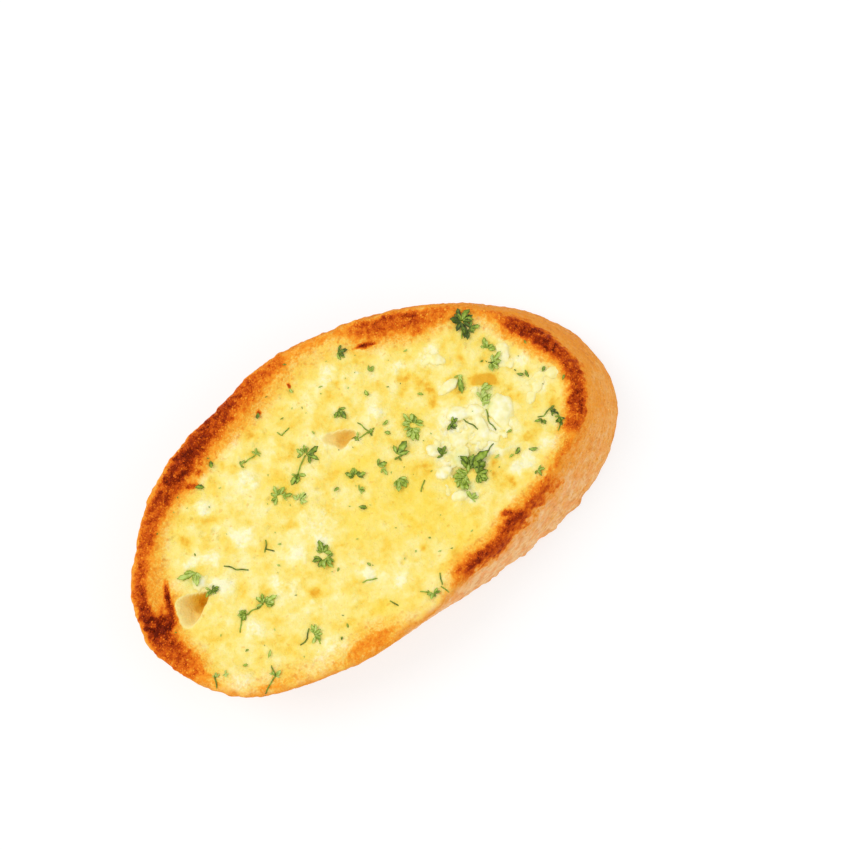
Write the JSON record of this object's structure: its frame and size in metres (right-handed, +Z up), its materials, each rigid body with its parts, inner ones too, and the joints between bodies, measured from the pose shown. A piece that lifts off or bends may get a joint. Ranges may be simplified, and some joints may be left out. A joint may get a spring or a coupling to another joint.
{
  "type": "garlic bread slice",
  "caption": "Oval slant-cut slice of toasted white bread, buttered and strewn with chopped garlic and parsley, lying on its lower cut face.",
  "frame": {"origin": "centre of the bounding box at the lower cut face, which lies on the surface", "axes": "+X along the slice, +Y across it, +Z up, out of the buttered face"},
  "size_m": [0.116, 0.065, 0.0195],
  "materials": {
    "toasted_bread": "buttered yellow crumb inside a dark toasted rim, golden tan crust",
    "chopped_garlic": "soft moist cream",
    "parsley": "fresh green leaf, slightly moist"
  },
  "bodies": {
    "root": {"garlic_bread_slice": "toasted_bread"}
  },
  "joints": []
}
